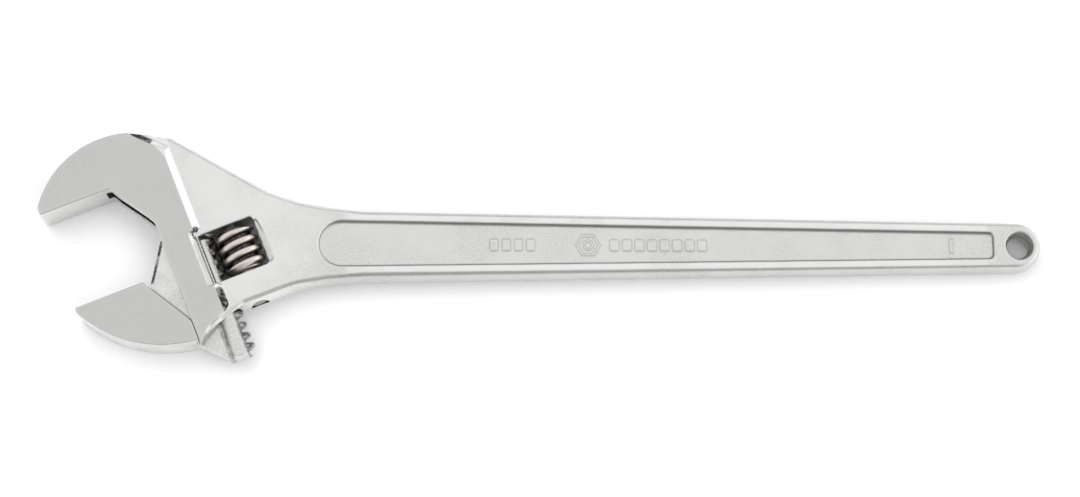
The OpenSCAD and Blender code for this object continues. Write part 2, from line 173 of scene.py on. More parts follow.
class WrenchSizes(bpy.types.PropertyGroup):
    handle_voxel: bpy.props.FloatProperty(
        name="Forging cell", description="Cell size of the frame's surface, in millimetres",
        default=0.5, min=0.3, max=2.0)
    jaw_voxel: bpy.props.FloatProperty(
        name="Jaw cell", description="Cell size of the sliding jaw's surface, in millimetres",
        default=0.34, min=0.2, max=1.0)
    pin_voxel: bpy.props.FloatProperty(
        name="Pin cell", description="Cell size of the pin's surface, in millimetres",
        default=0.2, min=0.1, max=0.5)
    forged_softness: bpy.props.FloatProperty(
        name="Forged softness", description="How far the handle's edges are rounded, in millimetres",
        default=0.62, min=0.1, max=1.5)
    ground_softness: bpy.props.FloatProperty(
        name="Ground softness", description="How far the ground edges are rounded, in millimetres",
        default=0.2, min=0.1, max=1.0)
    emblem_height: bpy.props.FloatProperty(
        name="Emblem height", description="How far the plain raised marks stand up, in millimetres",
        default=0.5, min=0.0, max=1.0)
    waviness: bpy.props.FloatProperty(
        name="Waviness", description="Unevenness of the forged skin, in millimetres",
        default=0.05, min=0.0, max=0.3)
    crest_radius: bpy.props.FloatProperty(
        name="Crest radius", description="Outer radius of the adjuster's thread",
        default=0.0132, min=0.01, max=0.02, unit="LENGTH")
    thread_depth: bpy.props.FloatProperty(
        name="Thread depth", description="Depth of the adjuster's thread",
        default=0.00325, min=0.001, max=0.005, unit="LENGTH")


class WrenchColours(bpy.types.PropertyGroup):
    forged: bpy.props.FloatVectorProperty(
        name="Forged skin", description="Satin chrome on the forged surfaces",
        default=(0.765, 0.765, 0.75), size=3, min=0.0, max=1.0, subtype="COLOR")
    # Also the colour of the painted highlights on the bevels and rims.
    polish_and_highlight: bpy.props.FloatVectorProperty(
        name="Polished chrome and painted highlights", description="Bright chrome on the worn edges, and painted highlights on the bevels and rims",
        default=(0.93, 0.93, 0.92), size=3, min=0.0, max=1.0, subtype="COLOR")
    ground: bpy.props.FloatVectorProperty(
        name="Ground faces", description="Finely ground chrome on the head's flats",
        default=(0.615, 0.615, 0.605), size=3, min=0.0, max=1.0, subtype="COLOR")
    adjuster: bpy.props.FloatVectorProperty(
        name="Adjuster crests", description="Turned steel of the adjuster's crests",
        default=(0.66, 0.62, 0.58), size=3, min=0.0, max=1.0, subtype="COLOR")
    # Also the colour of the painted shade and the painted dark reflections.
    oil_and_shade_dark: bpy.props.FloatVectorProperty(
        name="Oil and painted shade", description="Oil and dust in the recesses, and painted shade and painted dark reflections",
        default=(0.035, 0.032, 0.03), size=3, min=0.0, max=1.0, subtype="COLOR")
    pin: bpy.props.FloatVectorProperty(
        name="Pin", description="Turned steel of the pin",
        default=(0.45, 0.45, 0.44), size=3, min=0.0, max=1.0, subtype="COLOR")
    wire: bpy.props.FloatVectorProperty(
        name="Spring wire", description="Drawn wire of the spring",
        default=(0.34, 0.34, 0.36), size=3, min=0.0, max=1.0, subtype="COLOR")
    floor: bpy.props.FloatVectorProperty(
        name="Floor", description="Plain pale floor",
        default=(0.93, 0.93, 0.93), size=3, min=0.0, max=1.0, subtype="COLOR")


def sizes():
    """The sizes set in the panel."""
    return bpy.context.scene.wrench_sizes


def colours():
    """The colours set in the panel."""
    return bpy.context.scene.wrench_colours


# ---- Surfaces made from distance fields ----

BAND = 6  # cells of known distance on each side of a surface


def node_surface(node):
    """The points, in millimetres, and the triangles of a CAD node."""
    mesh = frame["nodes"][node].data
    mesh.calc_loop_triangles()
    points = np.empty(len(mesh.vertices) * 3, np.float32)
    mesh.vertices.foreach_get("co", points)
    corners = np.empty(len(mesh.loop_triangles) * 3, np.int32)
    mesh.loop_triangles.foreach_get("vertices", corners)
    return points.reshape(-1, 3) / np.float32(MM), corners.reshape(-1, 3).astype(np.uint32)


class Field:
    """Distances to a surface on a regular grid of cells: negative inside."""

    def __init__(self, node, cell):
        points, triangles = node_surface(node)
        self.cell = cell
        self.transform = openvdb.createLinearTransform(voxelSize=cell)
        grid = openvdb.FloatGrid.createLevelSetFromPolygons(
            points, triangles=triangles, transform=self.transform, halfWidth=BAND)
        low, high = grid.evalActiveVoxelBoundingBox()
        self.low = np.array(low) - 1
        shape = np.array(high) + 2 - self.low
        self.values = np.full(shape, BAND * cell, np.float32)
        grid.copyToArray(self.values, ijk=tuple(int(v) for v in self.low))

    def axis(self, number):
        """The places of the cells along one axis, in millimetres, shaped to broadcast."""
        places = (np.arange(self.values.shape[number]) + self.low[number]) * self.cell
        shape = [1, 1, 1]
        shape[number] = -1
        return places.astype(np.float32).reshape(shape)

    def soften(self, radius):
        """The values smoothed over a radius in millimetres, which rounds edges and fillets corners."""
        spread = radius / self.cell
        reach = max(1, math.ceil(2.5 * spread))
        weights = np.exp(-0.5 * (np.arange(-reach, reach + 1) / spread) ** 2)
        weights = (weights / weights.sum()).astype(np.float32)
        smooth = self.values
        for number in range(3):
            ends = [(0, 0)] * 3
            ends[number] = (reach, reach)
            padded = np.pad(smooth, ends, mode="edge")
            length = smooth.shape[number]
            smooth = np.zeros_like(smooth)
            for step, weight in enumerate(weights):
                cut = [slice(None)] * 3
                cut[number] = slice(step, step + length)
                smooth += weight * padded[tuple(cut)]
        return smooth

    def sample(self, values, points):
        """The values at points in millimetres, blended between cells."""
        places = points / self.cell - self.low
        first = np.clip(np.floor(places).astype(int), 0, np.array(values.shape) - 2)
        part = (places - first).astype(np.float32)
        total = np.zeros(len(points), np.float32)
        for corner in range(8):
            step = np.array([corner & 1, corner >> 1 & 1, corner >> 2 & 1])
            weight = np.prod(np.where(step, part, 1 - part), axis=1)
            total += weight * values[tuple((first + step).T)]
        return total

    def surface(self):
        """The points, triangles and quads of the zero surface."""
        grid = openvdb.FloatGrid(BAND * self.cell)
        grid.copyFromArray(self.values, ijk=tuple(int(v) for v in self.low))
        grid.transform = self.transform
        grid.gridClass = openvdb.GridClass.LEVEL_SET
        return grid.convertToPolygons(isovalue=0.0, adaptivity=0.0)


def make_mesh(name, points, faces):
    """A smooth-shaded mesh object from points in metres and lists of equal-sided faces."""
    mesh = bpy.data.meshes.new(name)
    sides = np.concatenate([np.full(len(f), f.shape[1]) for f in faces])
    corners = np.concatenate([f.reshape(-1) for f in faces]).astype(np.int32)
    mesh.vertices.add(len(points))
    mesh.vertices.foreach_set("co", np.asarray(points, np.float32).reshape(-1))
    mesh.loops.add(len(corners))
    mesh.loops.foreach_set("vertex_index", corners)
    mesh.polygons.add(len(sides))
    starts = np.concatenate([[0], np.cumsum(sides)[:-1]]).astype(np.int32)
    mesh.polygons.foreach_set("loop_start", starts)
    mesh.update(calc_edges=True)
    mesh.validate()
    mesh.shade_smooth()
    piece = bpy.data.objects.new(name, mesh)
    bpy.context.scene.collection.objects.link(piece)
    return piece


def outward(points, faces):
    """The lists of faces, turned over if they face into the piece."""
    volume = 0.0
    for face in faces:
        for corner in range(1, face.shape[1] - 1):
            a, b, c = (points[face[:, i]].astype(float) for i in (0, corner, corner + 1))
            volume += np.einsum("ij,ij->i", a, np.cross(b, c)).sum()
    return [face[:, ::-1] for face in faces] if volume < 0 else faces


def store(piece, name, values):
    """Keeps one number a vertex, for the materials."""
    attribute = piece.data.attributes.new(name, "FLOAT", "POINT")
    attribute.data.foreach_set("value", np.asarray(values, np.float32))


def field_piece(name, field, bend_radius):
    """A piece from a field, with its edges and recesses measured at each vertex."""
    points, triangles, quads = field.surface()
    faces = [face for face in (triangles, quads) if len(face)]
    piece = make_mesh(name, points * MM, outward(points, faces))
    store(piece, "bend", field.sample(field.soften(bend_radius), points) / bend_radius)
    return piece, points


def smoothstep(values, low, high):
    """0 up to low, 1 from high, and a smooth rise between them."""
    t = np.clip((values - low) / (high - low), 0, 1)
    return t * t * (3 - 2 * t)


def between(values, low, high):
    """Which values lie between two limits."""
    return (values > low) & (values < high)


def jaw_places(x, y):
    """Places in millimetres, as places across the screw's axis and along it."""
    x = x - SCREW_CENTRE.x / MM
    y = y - SCREW_CENTRE.y / MM
    cos, sin = math.cos(JAW_TURN), math.sin(JAW_TURN)
    return x * cos + y * sin, y * cos - x * sin


# ---- Plain raised marks on the handle's panel ----

def rounded_bar(x, y, centre, half, corner):
    """Distance to a rectangle with rounded corners."""
    dx = np.abs(x - centre[0]) - (half[0] - corner)
    dy = np.abs(y - centre[1]) - (half[1] - corner)
    outside = np.hypot(np.maximum(dx, 0), np.maximum(dy, 0))
    return outside + np.minimum(np.maximum(dx, dy), 0) - corner


def hexagon(x, y, centre, half):
    """Distance to a hexagon, given half its width across the flats."""
    dx, dy = np.abs(x - centre[0]), np.abs(y - centre[1])
    return np.maximum(dx * math.sqrt(0.75) + dy * 0.5, dy) - half


def raised_marks(x, y):
    """Distance to the plain marks: a short row of ribs, a nut, a long row of ribs and a bar."""
    row_y = -0.2
    nut, nut_half, nut_wall = (-262.5, row_y), 6.6, 1.6
    ring_radius, ring_half = 2.6, 0.7
    marks = [rounded_bar(x, y, (-319.5 + 7.4 * step, row_y), (2.6, 3.7), 1.0) for step in range(4)]
    marks += [rounded_bar(x, y, (-246.5 + 7.6 * step, row_y), (2.9, 3.6), 1.2) for step in range(8)]
    marks.append(rounded_bar(x, y, (-41.5, 0), (1.3, 4.6), 1.2))
    marks.append(np.maximum(hexagon(x, y, nut, nut_half), -hexagon(x, y, nut, nut_half - nut_wall)))
    marks.append(np.abs(np.hypot(x - nut[0], y - nut[1]) - ring_radius) - ring_half)
    return np.minimum.reduce(marks)


# ---- Shader node groups and materials ----

class Nodes:
    """Adds nodes and links to a node tree in short lines."""

    def __init__(self, tree):
        self.tree = tree
        self.column = 0

    def add(self, kind, inputs=None, **settings):
        """A new node. Each input takes a socket to link from, or a plain value."""
        node = self.tree.nodes.new(kind)
        node.location = (self.column * 180, 0)
        self.column += 1
        for key, value in settings.items():
            setattr(node, key, value)
        for key, value in (inputs or {}).items():
            if isinstance(value, bpy.types.NodeSocket):
                self.tree.links.new(value, node.inputs[key])
            else:
                node.inputs[key].default_value = value
        return node

    def math(self, operation, first, second=0.0, third=0.0):
        """The result of one sum on up to three values."""
        inputs = {0: first, 1: second, 2: third}
        return self.add("ShaderNodeMath", inputs, operation=operation).outputs[0]

    def range(self, value, from_low, from_high, to_low=0.0, to_high=1.0):
        """A value moved smoothly from one range to another."""
        inputs = {"Value": value, "From Min": from_low, "From Max": from_high,
                  "To Min": to_low, "To Max": to_high}
        node = self.add("ShaderNodeMapRange", inputs, clamp=True, interpolation_type="SMOOTHSTEP")
        return node.outputs["Result"]

    def mix(self, factor, first, second):
        """A colour between two colours."""
        node = self.add("ShaderNodeMix", data_type="RGBA", blend_type="MIX")
        for index, value in ((0, factor), (6, first), (7, second)):
            if isinstance(value, bpy.types.NodeSocket):
                self.tree.links.new(value, node.inputs[index])
            else:
                node.inputs[index].default_value = value
        return node.outputs[2]

    def blend(self, factor, first, second):
        """A value between two values."""
        return self.add("ShaderNodeMix", {0: factor, 2: first, 3: second}).outputs[0]

    def stored(self, name):
        """A number kept at each vertex of the piece."""
        return self.add("ShaderNodeAttribute", attribute_name=name).outputs["Fac"]

    def noise(self, vector, scale, detail=3.0, roughness=0.55):
        """Cloudy noise between 0 and 1."""
        inputs = {"Vector": vector, "Scale": scale, "Detail": detail, "Roughness": roughness}
        return self.add("ShaderNodeTexNoise", inputs, noise_dimensions="3D").outputs["Fac"]


def new_group(name, sockets_in, sockets_out):
    """A node group, its node helper, and the sockets inside it for what goes in and out."""
    group = bpy.data.node_groups.new(name, "ShaderNodeTree")
    for label, kind, default in sockets_in:
        socket = group.interface.new_socket(name=label, in_out="INPUT", socket_type=kind)
        socket.default_value = default
    for label in sockets_out:
        group.interface.new_socket(name=label, in_out="OUTPUT", socket_type="NodeSocketFloat")
    nodes = Nodes(group)
    return group, nodes, nodes.add("NodeGroupInput").outputs, nodes.add("NodeGroupOutput").inputs


def grinding_lines():
    """Fine parallel lines left by a grinding wheel, with broad patches where it bit less."""
    group, n, given, out = new_group("grinding lines", [
        ("Turn", "NodeSocketFloat", 0.0),
        ("Fineness", "NodeSocketFloat", 1.0),
    ], ["Lines", "Patches"])
    place = n.add("ShaderNodeTexCoord").outputs["Object"]
    turned = n.add("ShaderNodeVectorRotate", {"Vector": place, "Angle": given["Turn"]},
                   rotation_type="Z_AXIS").outputs[0]
    fine = n.add("ShaderNodeVectorMath", {0: turned, 1: (3600.0, 90.0, 600.0)},
                 operation="MULTIPLY").outputs[0]
    scaled = n.add("ShaderNodeVectorMath", {0: fine, "Scale": given["Fineness"]},
                   operation="SCALE").outputs[0]
    group.links.new(n.noise(scaled, 1.0, 2.0), out["Lines"])
    group.links.new(n.noise(turned, 55.0, 2.0), out["Patches"])
    return group


def forged_grain():
    """Speckle and soft pits of a blasted and plated forging."""
    group, n, given, out = new_group("forged grain", [
        ("Speckle Scale", "NodeSocketFloat", 900.0),
        ("Pit Scale", "NodeSocketFloat", 260.0),
    ], ["Speckle", "Pits", "Clouds"])
    place = n.add("ShaderNodeTexCoord").outputs["Object"]
    group.links.new(n.noise(place, given["Speckle Scale"], 3.0, 0.7), out["Speckle"])
    group.links.new(n.noise(place, given["Pit Scale"], 3.0, 0.6), out["Pits"])
    group.links.new(n.noise(place, 38.0, 3.0, 0.6), out["Clouds"])
    return group


def worn_edges_and_crease_shade():
    """Masks for the edges that hands polish and for the recesses, which the materials darken with oil and painted
    shade.
    """
    group, n, given, out = new_group("worn edges and crease shade", [
        ("Edge From", "NodeSocketFloat", 0.05),
        ("Edge To", "NodeSocketFloat", 0.25),
        ("Recess From", "NodeSocketFloat", 0.05),
        ("Recess To", "NodeSocketFloat", 0.3),
    ], ["Edge", "Recess"])
    bend = n.stored("bend")
    hollow = n.math("MULTIPLY", bend, -1.0)
    group.links.new(n.range(bend, given["Edge From"], given["Edge To"]), out["Edge"])
    group.links.new(n.range(hollow, given["Recess From"], given["Recess To"]), out["Recess"])
    return group


def rgba(colour, gain=1.0):
    """A colour with its brightness scaled, as four values."""
    return (colour[0] * gain, colour[1] * gain, colour[2] * gain, 1.0)


def new_metal(name):
    """A bare metal material, its node helper and its Principled shader."""
    material = bpy.data.materials.new(name)
    material.use_nodes = True
    n = Nodes(material.node_tree)
    shader = material.node_tree.nodes["Principled BSDF"]
    shader.inputs["Metallic"].default_value = 1.0
    return material, n, shader


def use_group(n, name, **inputs):
    """Places a node group. An underline in an input's name stands for a space."""
    node = n.add("ShaderNodeGroup", node_tree=bpy.data.node_groups[name])
    for key, value in inputs.items():
        node.inputs[key.replace("_", " ")].default_value = value
    return node.outputs


def finish_metal(n, shader, colour, roughness, height, strength, distance):
    """Feeds the shader its colour, roughness and bump."""
    n.tree.links.new(colour, shader.inputs["Base Color"])
    n.tree.links.new(roughness, shader.inputs["Roughness"])
    bump = n.add("ShaderNodeBump", {"Height": height, "Strength": strength, "Distance": distance})
    n.tree.links.new(bump.outputs["Normal"], shader.inputs["Normal"])


def ground_share(n):
    """1 on the ground faces of the head and the jaw, and 0 below them."""
    place = n.add("ShaderNodeTexCoord").outputs["Object"]
    high = n.math("ABSOLUTE", n.add("ShaderNodeSeparateXYZ", {0: place}).outputs["Z"])
    return n.range(high, FACE_HEIGHT - 0.0005, FACE_HEIGHT - 0.00012)


def chrome_forging():
    """Satin chrome forging with finely ground flats, a painted dark reflection on the unpolished run-outs, and
    painted highlights and painted shade.
    """
    material, n, shader = new_metal("satin chrome forging")
    c = colours()
    grain = use_group(n, "forged grain")
    lines = use_group(n, "grinding lines", Turn=-JAW_TURN)
    wear = use_group(n, "worn edges and crease shade", Edge_From=0.06, Edge_To=0.3, Recess_From=0.2, Recess_To=0.65)
    flat = ground_share(n)
    # The stored dark patches are a painted dark reflection, speckled by the pits.
    skin = n.stored("dark_reflection")
    forged = n.mix(n.range(grain["Speckle"], 0.3, 0.72), rgba(c.forged, 0.86), rgba(c.forged, 1.1))
    forged = n.mix(n.range(grain["Clouds"], 0.35, 0.7), forged, rgba(c.forged, 1.04))
    ground = n.mix(n.range(lines["Lines"], 0.3, 0.7), rgba(c.ground, 0.96), rgba(c.ground, 1.05))
    ground = n.mix(n.range(lines["Patches"], 0.3, 0.75), ground, rgba(c.ground, 1.03))
    # Painted highlight on the panel's rims and on the neck beyond them.
    rim_highlight_share = n.math("MULTIPLY", n.stored("rim_highlight"), n.range(grain["Clouds"], 0.3, 0.6, 0.6, 1.0))
    oil_and_shade = n.math("MULTIPLY", n.stored("oil_and_shade"), n.range(grain["Pits"], 0.3, 0.6, 0.9, 1.0))
    dark_reflection_share = n.math("MULTIPLY", skin, n.range(grain["Pits"], 0.42, 0.56))
    dark_reflection_share = n.math("ADD", n.math("MULTIPLY", skin, 0.7), n.math("MULTIPLY", dark_reflection_share, 0.3))
    # Painted highlight on the head's bevels and the crown's corner.
    colour = n.mix(n.stored("bevel_highlight"), forged, rgba(c.polish_and_highlight))
    colour = n.mix(rim_highlight_share, colour, rgba(c.polish_and_highlight, 0.987))
    colour = n.mix(flat, colour, ground)
    colour = n.mix(n.math("MULTIPLY", wear["Edge"], 0.12), colour, rgba(c.polish_and_highlight, 0.925))
    # Oil and painted shade in the creases.
    colour = n.mix(n.math("MULTIPLY", wear["Recess"], 0.6), colour, rgba(c.oil_and_shade_dark, 3.0))
    # Painted shade on the panel's walls, round the marks, on the handle's sides and on the lower lip.
    colour = n.mix(n.math("MULTIPLY", n.stored("shade"), 0.46), colour, rgba(c.oil_and_shade_dark, 2.2))
    # Oil and painted shade in the slot, the window, its lip and crease, and the pin's hole.
    colour = n.mix(oil_and_shade, colour, rgba(c.oil_and_shade_dark, 0.6))
    # Paints the dark reflection on the run-outs.
    colour = n.mix(dark_reflection_share, colour, rgba(c.oil_and_shade_dark))
    rough_forged = n.math("MULTIPLY_ADD", grain["Speckle"], 0.16, 0.30)
    rough_flat = n.math("MULTIPLY_ADD", lines["Lines"], 0.1, 0.27)
    rough = n.blend(flat, rough_forged, rough_flat)
    height = n.math("ADD", n.math("MULTIPLY", grain["Speckle"], 0.5), grain["Pits"])
    height = n.blend(flat, height, n.math("MULTIPLY", lines["Lines"], 0.25))
    finish_metal(n, shader, colour, rough, height, 0.35, 0.00012)
    return material


def ground_jaw():
    """Ground chrome with a coarser machined web and rail."""
    material, n, shader = new_metal("ground jaw steel")
    c = colours()
    grain = use_group(n, "forged grain", Speckle_Scale=1100.0, Pit_Scale=420.0)
    lines = use_group(n, "grinding lines", Turn=-JAW_TURN + math.pi / 2)
    wear = use_group(n, "worn edges and crease shade", Edge_From=0.06, Edge_To=0.3, Recess_From=0.05, Recess_To=0.35)
    flat = ground_share(n)
    machined = n.mix(n.range(grain["Speckle"], 0.3, 0.7), rgba(c.forged, 0.82), rgba(c.forged, 1.12))
    streaks = n.math("MULTIPLY", n.range(lines["Patches"], 0.45, 0.65), 0.55)
    machined = n.mix(streaks, machined, rgba(c.polish_and_highlight, 0.968))
    ground = n.mix(n.range(lines["Lines"], 0.3, 0.7), rgba(c.ground, 0.96), rgba(c.ground, 1.05))
    colour = n.mix(flat, machined, ground)
    colour = n.mix(n.math("MULTIPLY", wear["Edge"], 0.12), colour, rgba(c.polish_and_highlight, 0.946))
    # Oil and painted shade in the creases.
    colour = n.mix(n.math("MULTIPLY", wear["Recess"], 0.8), colour, rgba(c.oil_and_shade_dark))
    # Oil and painted shade on the rack, along the rail and on the web's front edge.
    oil_shade_share = n.math("MULTIPLY", n.stored("oil_and_shade"), n.range(grain["Pits"], 0.35, 0.6, 0.45, 1.0))
    colour = n.mix(oil_shade_share, colour, rgba(c.oil_and_shade_dark, 1.6))
    rough_machined = n.math("MULTIPLY_ADD", grain["Speckle"], 0.2, 0.26)
    rough_flat = n.math("MULTIPLY_ADD", lines["Lines"], 0.1, 0.27)
    rough = n.blend(flat, rough_machined, rough_flat)
    height = n.math("ADD", grain["Speckle"], grain["Pits"])
    height = n.blend(flat, height, n.math("MULTIPLY", lines["Lines"], 0.25))
    finish_metal(n, shader, colour, rough, height, 0.4, 0.00015)
    return material


def turned_steel(name, colour, roughness, recess=0.9):
    """Turned steel with painted highlights on its edges and crests, and oil and painted shade in its recesses, for
    the adjuster, the pin and the spring.
    """
    material, n, shader = new_metal(name)
    c = colours()
    grain = use_group(n, "forged grain", Speckle_Scale=1300.0, Pit_Scale=500.0)
    lines = use_group(n, "grinding lines", Turn=-JAW_TURN + math.pi / 2, Fineness=1.4)
    wear = use_group(n, "worn edges and crease shade", Edge_From=0.1, Edge_To=0.6, Recess_From=0.0, Recess_To=0.5)
    steel = n.mix(n.range(lines["Lines"], 0.3, 0.7), rgba(colour, 0.82), rgba(colour, 1.15))
    steel = n.mix(n.math("MULTIPLY", n.range(grain["Clouds"], 0.4, 0.7), 0.4), steel,
                  (colour[0] * 0.85, colour[1] * 0.78, colour[2] * 0.72, 1.0))
    # Painted highlight on the edges and on the adjuster's crests.
    steel = n.mix(n.math("MULTIPLY", wear["Edge"], 0.45), steel, rgba(colour, 1.45))
    # Oil and painted shade in the recesses.
    oil_shade_share = n.math("MULTIPLY", n.stored("oil_and_shade"), n.range(grain["Pits"], 0.3, 0.6, 0.8, 1.0))
    oil_shade_share = n.math("MAXIMUM", oil_shade_share, n.math("MULTIPLY", wear["Recess"], recess))
    steel = n.mix(oil_shade_share, steel, rgba(c.oil_and_shade_dark))
    rough = n.math("MULTIPLY_ADD", grain["Speckle"], 0.18, roughness)
    finish_metal(n, shader, steel, rough, n.math("ADD", lines["Lines"], grain["Speckle"]), 0.3, 0.0001)
    return material


def build_groups():
    """Makes the shader node groups that the materials share."""
    for build in (grinding_lines, forged_grain, worn_edges_and_crease_shade):
        build()


def place_piece(piece, node, body, material):
    """Gives a piece its material and its body, and hides the CAD node that it stands for."""
    piece.data.materials.append(material)
    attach(piece, body)
    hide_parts(node)


# ---- The pieces ----

def frame_field(s):
    """The frame's field: raised marks, a slightly wavy forged skin, and softer edges on the handle."""
    field = Field("frame", s.handle_voxel)
    x, y, z = (field.axis(i) for i in range(3))
    marks = raised_marks(x[:, :, 0], y[:, :, 0])[:, :, None]
    lift = 1 - smoothstep(marks, -0.25, 0.25)
    field.values -= s.emblem_height * lift * (z > 0)
    waves = (np.sin(x / 5.3 + 1.3 * np.sin(y / 7.0)) * np.sin(y / 4.1 + x / 17.0)
             + np.sin(x / 11.0 + y / 6.3) * np.cos(z / 5.0 + x / 9.0))
    on_forging = 1 - smoothstep(np.abs(z), 11.5, 12.5)
    field.values += (0.5 * s.waviness) * waves * on_forging
    crisp = field.soften(s.ground_softness)
    soft = field.soften(s.forged_softness)
    across = jaw_places(x, y)[0]
    field.values = crisp + (soft - crisp) * smoothstep(across, 18.0, 34.0)
    return field


class FramePlaces:
    """Where each vertex of the frame is, in millimetres, and which way its surface faces."""

    def __init__(self, piece, points):
        self.x, self.y, self.z = points.T
        self.across, self.along = jaw_places(self.x, self.y)
        self.high = np.abs(self.z)
        normals = np.empty(len(points) * 3, np.float32)
        piece.data.vertex_normals.foreach_get("vector", normals)
        normals = normals.reshape(-1, 3)
        self.upright = 1 - smoothstep(np.abs(normals[:, 2]), 0.55, 0.97)
        self.inward = normals[:, 1] * np.sign(self.y) < 0.3
        self.steep = (smoothstep(self.high, BODY_TOP + 0.3, BODY_TOP + 0.6)
                      * (1 - smoothstep(self.high, FACE_TOP - 0.35, FACE_TOP - 0.05)))
        self.on_panel = (smoothstep(self.x, PANEL_START, PANEL_START + 5.0)
                         * (1 - smoothstep(self.x, PANEL_END - 0.8, PANEL_END)))


def painted_dark_reflections(at):
    """The dark patches on the steep sides of the head's ground faces: a painted dark reflection on their rough
    unpolished skin.
    """
    dark = np.zeros(len(at.x))
    for (across, along), (half_across, half_along) in DARK_REFLECTION_PATCHES:
        inside = np.hypot((at.across - across) / half_across, (at.along - along) / half_along)
        dark = np.maximum(dark, 1 - smoothstep(inside, 0.85, 1.1))
    return dark * at.steep


def highlighted_bevels(at, dark):
    """Painted highlights on the head's bevels, which have a polish, and on the crown's corner, outside the dark
    patches.
    """
    bevel = at.steep * smoothstep(at.across, -30.0, -26.0)
    corner = (1 - smoothstep(at.across, BEVEL_EDGE, BEVEL_EDGE + 0.7)) * (at.across > -32)
    corner = corner * smoothstep(at.along, 72.0, 74.0) * between(at.high, 9.5, 14.1)
    return np.maximum(bevel, corner) * (1 - dark)


def recess_oil_and_shade(at):
    """The slot, the window with its lip and the crease beside it, and the pin's hole, darkened with oil and
    painted shade.
    """
    beside = np.abs(at.along)
    slot = (at.high < SLOT_TOP) & between(at.across, SLOT_LEFT, SLOT_RIGHT)
    slot &= between(at.along, SLOT_LOW, SLOT_HIGH)
    window = (at.high < BODY_TOP - 0.8) & between(at.across, WINDOW_LEFT, WINDOW_RIGHT)
    window &= beside < WINDOW_HALF - 0.65
    lip = between(at.across, WINDOW_LEFT - 0.2, WINDOW_LEFT + 1.1)
    lip &= between(at.high, BODY_TOP - 2.0, BODY_TOP + 0.2) & (beside < WINDOW_HALF - 0.05)
    crease = between(at.across, WINDOW_LEFT - 2.0, WINDOW_LEFT - 0.8)
    crease &= between(at.high, BODY_TOP - 0.5, BODY_TOP + 0.5) & (beside < WINDOW_HALF + 0.15)
    pin_hole = (np.hypot(at.across, at.z) < HUB_RADIUS + 0.2) & (at.along < PIN_HOLE_TOP)
    return np.maximum.reduce([slot * 1.0, window * 0.85, lip * 0.9, crease * 0.75, pin_hole * 1.0])


def frame_shade(at):
    """Painted shade on the panel's walls, round the marks, on the handle's sides and on the lower lip."""
    walls = at.upright * at.on_panel * at.inward * (np.abs(at.y) < PANEL_HALF_WIDTH)
    walls *= between(at.high, PANEL_FLOOR, HANDLE_TOP - 0.05)
    outlines = 0.75 * (1 - smoothstep(np.abs(raised_marks(at.x, at.y)), 0.15, 0.55))
    outlines *= between(at.z, PANEL_FLOOR - 0.3, PANEL_FLOOR + 1.3)
    sides = 0.55 * at.upright * (1 - smoothstep(at.high, 8.0, 9.5)) * smoothstep(at.across, *HANDLE_SIDES)
    low_lip = 0.6 * at.upright * (1 - smoothstep(at.across, -36.0, -20.0)) * (at.high < 13.6)
    low_lip *= (at.across > GUIDE + 0.1) & (at.along < -32)
    return np.maximum.reduce([walls, outlines, sides, low_lip])


def rim_highlights(at):
    """Painted highlights on the rims of the handle's panel and on the neck beyond its end."""
    rim_highlight = (smoothstep(at.high, HANDLE_TOP - 0.3, HANDLE_TOP - 0.1)
           * (1 - smoothstep(at.high, HANDLE_TOP + 0.1, HANDLE_TOP + 0.3)) * (at.on_panel > 0))
    rim_highlight *= 1 - smoothstep(at.x, -24.0, -13.0)
    neck = 0.62 * (1 - smoothstep(at.x, -438, -418)) * (1 - at.upright)
    return np.maximum(rim_highlight, neck * (at.high < 11.5))


class OBJECT_OT_wrench_frame(bpy.types.Operator):
    """Builds the forged frame: handle, head and fixed jaw in one piece"""
    bl_idname = "object.wrench_frame"
    bl_label = "Forged Frame"

    def execute(self, context):
        piece, points = field_piece("wrench_frame", frame_field(sizes()), 1.6)
        at = FramePlaces(piece, points)
        dark = painted_dark_reflections(at)
        # Painted dark reflection on the head's run-outs.
        store(piece, "dark_reflection", dark)
        # Painted highlight on the bevels.
        store(piece, "bevel_highlight", highlighted_bevels(at, dark))
        store(piece, "oil_and_shade", recess_oil_and_shade(at))
        store(piece, "shade", frame_shade(at))
        # Painted highlight on the rims.
        store(piece, "rim_highlight", rim_highlights(at))
        place_piece(piece, "frame", "wrench", chrome_forging())
        return {"FINISHED"}


class OBJECT_OT_wrench_jaw(bpy.types.Operator):
    """Builds the sliding jaw with its web, rail and rack"""
    bl_idname = "object.wrench_jaw"
    bl_label = "Sliding Jaw"

    def execute(self, context):
        s = sizes()
        field = Field("movable_jaw", s.jaw_voxel)
        field.values = field.soften(s.ground_softness)
        piece, points = field_piece("sliding_jaw", field, 1.1)
        across, along = jaw_places(points[:, 0], points[:, 1])
        # Oil and painted shade between the rack's teeth, painted shade along one side of the rail, and a darker
        # strip along the web's front edge.
        rack = smoothstep(across, -18.5, -16.5)
        rail = smoothstep(across, -29.5, -28.0) * (1 - smoothstep(across, -26.5, -24.5)) * (along < 0)
        edge = (Vector(WEB_TOP) - Vector(WEB_TIP)).normalized()
        from_edge = np.abs((across - WEB_TIP[0]) * edge.y - (along - WEB_TIP[1]) * edge.x)
        web_front = (1 - smoothstep(from_edge, 1.5, 2.0)) * (along > WEB_TIP[1] - 0.2)
        web_front *= np.abs(points[:, 2]) < WEB_TOP_FACE
        store(piece, "oil_and_shade", np.maximum.reduce([0.9 * rack, 0.6 * rail, web_front]))
        place_piece(piece, "movable_jaw", "jaw", ground_jaw())
        return {"FINISHED"}


